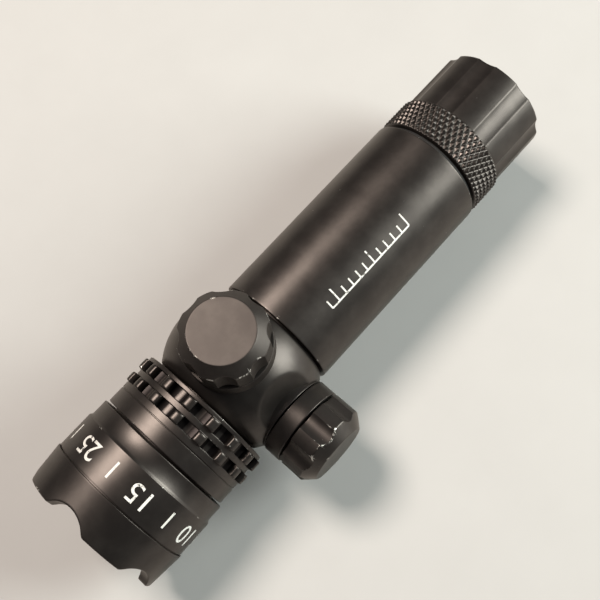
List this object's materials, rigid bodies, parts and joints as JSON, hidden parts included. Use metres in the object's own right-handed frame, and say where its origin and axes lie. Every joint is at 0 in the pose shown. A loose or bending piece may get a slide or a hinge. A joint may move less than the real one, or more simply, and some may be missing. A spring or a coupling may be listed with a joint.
{
  "type": "laser sight",
  "caption": "Tube-bodied laser sight with a round turret housing, two capped adjusters, a focusing crown bezel and a push-button tail cap.",
  "frame": {"origin": "middle of the plain one-inch tube, on its axis, where a mounting ring grips it", "axes": "+X along the optical axis, the way the beam leaves; +Z towards the elevation turret; +Y towards the windage turret"},
  "size_m": [0.1188, 0.0404, 0.0404],
  "materials": {
    "anodised_aluminium": "satin black anodised, fine turning grain, bright worn edges",
    "brass": "turned brass",
    "steel": "bright steel",
    "rubber": "matte black rubber",
    "black_plastic": "moulded black plastic",
    "nylon": "natural nylon",
    "glass": "coated optical glass",
    "circuit_board": "green solder mask",
    "battery_wrap": "plain grey shrink wrap"
  },
  "bodies": {
    "sight_body": {"main_tube": "anodised_aluminium", "battery_sleeve": "nylon", "battery_cell": "battery_wrap", "front_contact": "brass", "contact_board": "circuit_board", "power_lead": "rubber", "turret_housing": "anodised_aluminium", "elevation_collar": "anodised_aluminium", "windage_collar": "anodised_aluminium", "elevation_return_spring": "steel", "windage_return_spring": "steel", "head_body": "anodised_aluminium", "bezel_o_ring": "rubber"},
    "lens_cell": {"lens_carriage": "anodised_aluminium", "front_lens": "glass", "lens_o_ring": "rubber", "lens_retaining_ring": "anodised_aluminium", "carriage_clip": "steel"},
    "focus_bezel": {"focus_bezel": "anodised_aluminium"},
    "elevation_dial": {"elevation_dial": "brass"},
    "elevation_plunger": {"elevation_plunger": "steel"},
    "windage_dial": {"windage_dial": "brass"},
    "windage_plunger": {"windage_plunger": "steel"},
    "elevation_cap_seal": {"elevation_cap_o_ring": "rubber"},
    "elevation_cap": {"elevation_cap": "anodised_aluminium"},
    "windage_cap_seal": {"windage_cap_o_ring": "rubber"},
    "windage_cap": {"windage_cap": "anodised_aluminium"},
    "module_pivot": {"pivot_o_ring": "rubber"},
    "laser_module": {"module_barrel": "brass", "expander_lens": "glass", "expander_retaining_ring": "brass", "diode_heat_sink": "brass", "laser_diode": "steel", "driver_board": "circuit_board"},
    "tail_seal": {"tail_o_ring": "rubber"},
    "tail_cap": {"tail_cap": "anodised_aluminium", "switch_body": "black_plastic", "switch_board": "circuit_board", "switch_retaining_ring": "brass", "tail_spring": "steel"},
    "button": {"button_boot": "rubber", "button_plunger": "black_plastic"}
  },
  "joints": [
    {"name": "focus_travel", "type": "slide", "parent": "sight_body", "child": "lens_cell", "axis": [1, 0, 0], "range_m": [-0.00035, 0.00115]},
    {"name": "focus_turn", "type": "hinge", "parent": "lens_cell", "child": "focus_bezel", "pos_m": [0.0627, 0, 0], "axis": [1, 0, 0], "range_deg": [-127, 415]},
    {"name": "elevation_dial_turn", "type": "hinge", "parent": "sight_body", "child": "elevation_dial", "pos_m": [0.0327, 0, 0.018], "axis": [0, 0, 1], "range_deg": [-280, 280]},
    {"name": "elevation_plunger_travel", "type": "slide", "parent": "sight_body", "child": "elevation_plunger", "axis": [0, 0, 1], "range_m": [-0.00027, 0.00027]},
    {"name": "windage_dial_turn", "type": "hinge", "parent": "sight_body", "child": "windage_dial", "pos_m": [0.0327, 0.018, 0], "axis": [0, 1, 0], "range_deg": [-280, 280]},
    {"name": "windage_plunger_travel", "type": "slide", "parent": "sight_body", "child": "windage_plunger", "axis": [0, 1, 0], "range_m": [-0.00027, 0.00027]},
    {"name": "module_pitch", "type": "hinge", "parent": "sight_body", "child": "module_pivot", "pos_m": [0.0487, 0, 0], "axis": [0, 1, 0], "range_deg": [-1, 1]},
    {"name": "module_yaw", "type": "hinge", "parent": "module_pivot", "child": "laser_module", "pos_m": [0.0487, 0, 0], "axis": [0, 0, 1], "range_deg": [-1, 1]},
    {"name": "elevation_cap_travel", "type": "slide", "parent": "sight_body", "child": "elevation_cap_seal", "axis": [0, 0, 1], "range_m": [0, 0.0026]},
    {"name": "elevation_cap_turn", "type": "hinge", "parent": "elevation_cap_seal", "child": "elevation_cap", "pos_m": [0.0327, 0, 0.02], "axis": [0, 0, 1], "range_deg": [0, 1250]},
    {"name": "windage_cap_travel", "type": "slide", "parent": "sight_body", "child": "windage_cap_seal", "axis": [0, 1, 0], "range_m": [0, 0.0026]},
    {"name": "windage_cap_turn", "type": "hinge", "parent": "windage_cap_seal", "child": "windage_cap", "pos_m": [0.0327, 0.02, 0], "axis": [0, 1, 0], "range_deg": [0, 1250]},
    {"name": "tail_cap_travel", "type": "slide", "parent": "sight_body", "child": "tail_seal", "axis": [-1, 0, 0], "range_m": [0, 0.005]},
    {"name": "tail_cap_turn", "type": "hinge", "parent": "tail_seal", "child": "tail_cap", "pos_m": [-0.0323, 0, 0], "axis": [-1, 0, 0], "range_deg": [0, 1802]},
    {"name": "button_press", "type": "slide", "parent": "tail_cap", "child": "button", "axis": [1, 0, 0], "range_m": [0, 0.0012], "stiffness_N_per_m": 1500, "springref_m": -0.0003}
  ],
  "couplings": [
    {"joint": "focus_turn", "follows": "focus_travel", "rad_per_m": 6283.2},
    {"joint": "elevation_dial_turn", "follows": "elevation_plunger_travel", "rad_per_m": 17952},
    {"joint": "module_pitch", "follows": "elevation_plunger_travel", "rad_per_m": 62.5},
    {"joint": "windage_dial_turn", "follows": "windage_plunger_travel", "rad_per_m": 17952},
    {"joint": "module_yaw", "follows": "windage_plunger_travel", "rad_per_m": -62.5},
    {"joint": "elevation_cap_turn", "follows": "elevation_cap_travel", "rad_per_m": 8377.6},
    {"joint": "windage_cap_turn", "follows": "windage_cap_travel", "rad_per_m": 8377.6},
    {"joint": "tail_cap_turn", "follows": "tail_cap_travel", "rad_per_m": 6283.2}
  ]
}
